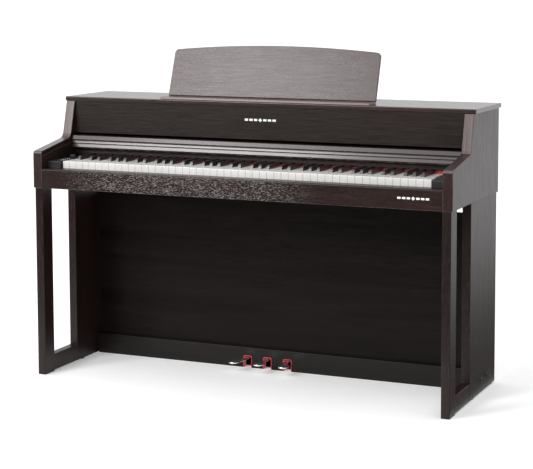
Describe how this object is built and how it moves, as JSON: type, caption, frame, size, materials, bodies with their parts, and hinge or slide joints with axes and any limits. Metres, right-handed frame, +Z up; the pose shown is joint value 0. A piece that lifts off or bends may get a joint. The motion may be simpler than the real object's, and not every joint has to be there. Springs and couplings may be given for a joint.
{
  "type": "digital piano",
  "caption": "Upright digital piano on a panel stand, with a full keyboard, sliding key cover, folding music rest and pedals.",
  "frame": {"origin": "on the floor, below the middle of the whole outline", "axes": "+X along the keyboard to the treble end, +Y from the player to the wall, +Z up"},
  "size_m": [1.39, 0.474, 1.044],
  "materials": {
    "veneer": "satin open-pore dark rosewood veneer",
    "dark_board": "matt dark laminate",
    "gloss_rail": "semi-gloss dark lacquer",
    "black_plastic": "fine-grained black plastic",
    "white_key_plastic": "white key plastic, satin gloss",
    "black_key_plastic": "black key plastic, satin gloss",
    "red_felt": "red wool felt",
    "chrome": "polished plating",
    "steel": "bright zinc",
    "sheet_steel": "black powder coat",
    "circuit_green": "solder-masked laminate",
    "speaker_black": "black basket and cone"
  },
  "bodies": {
    "cabinet": {"back_panel": "dark_board", "cabinet_back": "dark_board", "circuit_boards": "circuit_green", "cover_racks": "black_plastic", "floor_glides": "black_plastic", "front_panel": "veneer", "jack_plate": "black_plastic", "key_bed": "dark_board", "key_frame": "sheet_steel", "key_pivot_rod": "steel", "key_slip": "veneer", "left_cheek_block": "black_plastic", "left_foot_rail": "veneer", "left_front_post": "veneer", "left_rear_panel": "veneer", "left_side_panel": "veneer", "name_felt": "red_felt", "name_rail": "veneer", "pedal_axle": "steel", "pedal_box": "sheet_steel", "pedal_rail": "veneer", "pedal_springs": "steel", "rest_hinges": "steel", "rest_ledge": "veneer", "right_cheek_block": "black_plastic", "right_foot_rail": "veneer", "right_front_post": "veneer", "right_rear_panel": "veneer", "right_side_panel": "veneer", "slot_felts": "red_felt", "speakers": "speaker_black", "stand_bolts": "steel", "top_lid": "veneer"},
    "music_rest": {"rest_panel": "veneer", "rest_brackets": "steel"},
    "rest_stay": {"rest_stay": "steel"},
    "key_cover": {"cover_rail": "gloss_rail", "cover_panel": "dark_board"},
    "cover_shaft": {"cover_shaft": "steel"},
    "soft_pedal": {"soft_pedal": "chrome"},
    "sostenuto_pedal": {"sostenuto_pedal": "chrome"},
    "damper_pedal": {"damper_pedal": "chrome"},
    "volume_knob": {"volume_knob": "black_plastic"},
    "function_buttons": {"function_buttons": "black_plastic"},
    "power_button": {"power_button": "black_plastic"},
    "white_keys": {"white_keys": "white_key_plastic"},
    "black_keys": {"black_keys": "black_key_plastic"},
    "key_a4": {"key_a4": "white_key_plastic"},
    "key_as4": {"key_as4": "black_key_plastic"},
    "key_b4": {"key_b4": "white_key_plastic"},
    "key_c4": {"key_c4": "white_key_plastic"},
    "key_cs4": {"key_cs4": "black_key_plastic"},
    "key_d4": {"key_d4": "white_key_plastic"},
    "key_ds4": {"key_ds4": "black_key_plastic"},
    "key_e4": {"key_e4": "white_key_plastic"},
    "key_f4": {"key_f4": "white_key_plastic"},
    "key_fs4": {"key_fs4": "black_key_plastic"},
    "key_g4": {"key_g4": "white_key_plastic"},
    "key_gs4": {"key_gs4": "black_key_plastic"}
  },
  "joints": [
    {"name": "music_rest_tilt", "type": "hinge", "parent": "cabinet", "child": "music_rest", "pos_m": [0, 0.053, 0.881], "axis": [-1, 0, 0], "range_deg": [0, 69]},
    {"name": "rest_stay_swing", "type": "hinge", "parent": "music_rest", "child": "rest_stay", "pos_m": [0, 0.07395, 0.93724], "axis": [1, 0, 0], "range_deg": [0, 117]},
    {"name": "key_cover_slide", "type": "slide", "parent": "cabinet", "child": "key_cover", "axis": [0, -0.9863, -0.165], "range_m": [0, 0.17279]},
    {"name": "cover_shaft_roll", "type": "hinge", "parent": "key_cover", "child": "cover_shaft", "pos_m": [0, 0.168, 0.77947], "axis": [1, 0, 0], "range_deg": [-5, 1245]},
    {"name": "soft_pedal_press", "type": "hinge", "parent": "cabinet", "child": "soft_pedal", "pos_m": [0, 0.186, 0.03], "axis": [1, 0, 0], "range_deg": [0, 4.5], "stiffness_Nm_per_rad": 20, "springref_deg": -4.58},
    {"name": "sostenuto_pedal_press", "type": "hinge", "parent": "cabinet", "child": "sostenuto_pedal", "pos_m": [0, 0.186, 0.03], "axis": [1, 0, 0], "range_deg": [0, 4.5], "stiffness_Nm_per_rad": 20, "springref_deg": -4.58},
    {"name": "damper_pedal_press", "type": "hinge", "parent": "cabinet", "child": "damper_pedal", "pos_m": [0, 0.186, 0.03], "axis": [1, 0, 0], "range_deg": [0, 4.5], "stiffness_Nm_per_rad": 20, "springref_deg": -4.58},
    {"name": "volume_knob_turn", "type": "hinge", "parent": "cabinet", "child": "volume_knob", "pos_m": [-0.6375, -0.088, 0.687], "axis": [0, 0, 1], "range_deg": [-150, 150]},
    {"name": "function_buttons_press", "type": "slide", "parent": "cabinet", "child": "function_buttons", "axis": [0, 0, -1], "range_m": [0, 0.0015], "stiffness_N_per_m": 400, "springref_m": -0.001},
    {"name": "power_button_press", "type": "slide", "parent": "cabinet", "child": "power_button", "axis": [0, 0, -1], "range_m": [0, 0.0015], "stiffness_N_per_m": 400, "springref_m": -0.001},
    {"name": "key_a4_press", "type": "hinge", "parent": "cabinet", "child": "key_a4", "pos_m": [0, 0.035, 0.669], "axis": [1, 0, 0], "range_deg": [0, 2.5], "stiffness_Nm_per_rad": 0.5, "springref_deg": -17.19},
    {"name": "key_as4_press", "type": "hinge", "parent": "cabinet", "child": "key_as4", "pos_m": [0, 0.035, 0.669], "axis": [1, 0, 0], "range_deg": [0, 2.5], "stiffness_Nm_per_rad": 0.5, "springref_deg": -17.19},
    {"name": "key_b4_press", "type": "hinge", "parent": "cabinet", "child": "key_b4", "pos_m": [0, 0.035, 0.669], "axis": [1, 0, 0], "range_deg": [0, 2.5], "stiffness_Nm_per_rad": 0.5, "springref_deg": -17.19},
    {"name": "key_c4_press", "type": "hinge", "parent": "cabinet", "child": "key_c4", "pos_m": [0, 0.035, 0.669], "axis": [1, 0, 0], "range_deg": [0, 2.5], "stiffness_Nm_per_rad": 0.5, "springref_deg": -17.19},
    {"name": "key_cs4_press", "type": "hinge", "parent": "cabinet", "child": "key_cs4", "pos_m": [0, 0.035, 0.669], "axis": [1, 0, 0], "range_deg": [0, 2.5], "stiffness_Nm_per_rad": 0.5, "springref_deg": -17.19},
    {"name": "key_d4_press", "type": "hinge", "parent": "cabinet", "child": "key_d4", "pos_m": [0, 0.035, 0.669], "axis": [1, 0, 0], "range_deg": [0, 2.5], "stiffness_Nm_per_rad": 0.5, "springref_deg": -17.19},
    {"name": "key_ds4_press", "type": "hinge", "parent": "cabinet", "child": "key_ds4", "pos_m": [0, 0.035, 0.669], "axis": [1, 0, 0], "range_deg": [0, 2.5], "stiffness_Nm_per_rad": 0.5, "springref_deg": -17.19},
    {"name": "key_e4_press", "type": "hinge", "parent": "cabinet", "child": "key_e4", "pos_m": [0, 0.035, 0.669], "axis": [1, 0, 0], "range_deg": [0, 2.5], "stiffness_Nm_per_rad": 0.5, "springref_deg": -17.19},
    {"name": "key_f4_press", "type": "hinge", "parent": "cabinet", "child": "key_f4", "pos_m": [0, 0.035, 0.669], "axis": [1, 0, 0], "range_deg": [0, 2.5], "stiffness_Nm_per_rad": 0.5, "springref_deg": -17.19},
    {"name": "key_fs4_press", "type": "hinge", "parent": "cabinet", "child": "key_fs4", "pos_m": [0, 0.035, 0.669], "axis": [1, 0, 0], "range_deg": [0, 2.5], "stiffness_Nm_per_rad": 0.5, "springref_deg": -17.19},
    {"name": "key_g4_press", "type": "hinge", "parent": "cabinet", "child": "key_g4", "pos_m": [0, 0.035, 0.669], "axis": [1, 0, 0], "range_deg": [0, 2.5], "stiffness_Nm_per_rad": 0.5, "springref_deg": -17.19},
    {"name": "key_gs4_press", "type": "hinge", "parent": "cabinet", "child": "key_gs4", "pos_m": [0, 0.035, 0.669], "axis": [1, 0, 0], "range_deg": [0, 2.5], "stiffness_Nm_per_rad": 0.5, "springref_deg": -17.19},
    {"name": "white_keys_press", "type": "hinge", "parent": "cabinet", "child": "white_keys", "pos_m": [0, 0.035, 0.669], "axis": [1, 0, 0], "range_deg": [0, 2.5], "stiffness_Nm_per_rad": 24, "springref_deg": -17.19},
    {"name": "black_keys_press", "type": "hinge", "parent": "cabinet", "child": "black_keys", "pos_m": [0, 0.035, 0.669], "axis": [1, 0, 0], "range_deg": [0, 2.5], "stiffness_Nm_per_rad": 15, "springref_deg": -17.19}
  ],
  "couplings": [
    {"joint": "rest_stay_swing", "follows": "music_rest_tilt", "ratio": 1.6899},
    {"joint": "cover_shaft_roll", "follows": "key_cover_slide", "rad_per_m": 125}
  ]
}
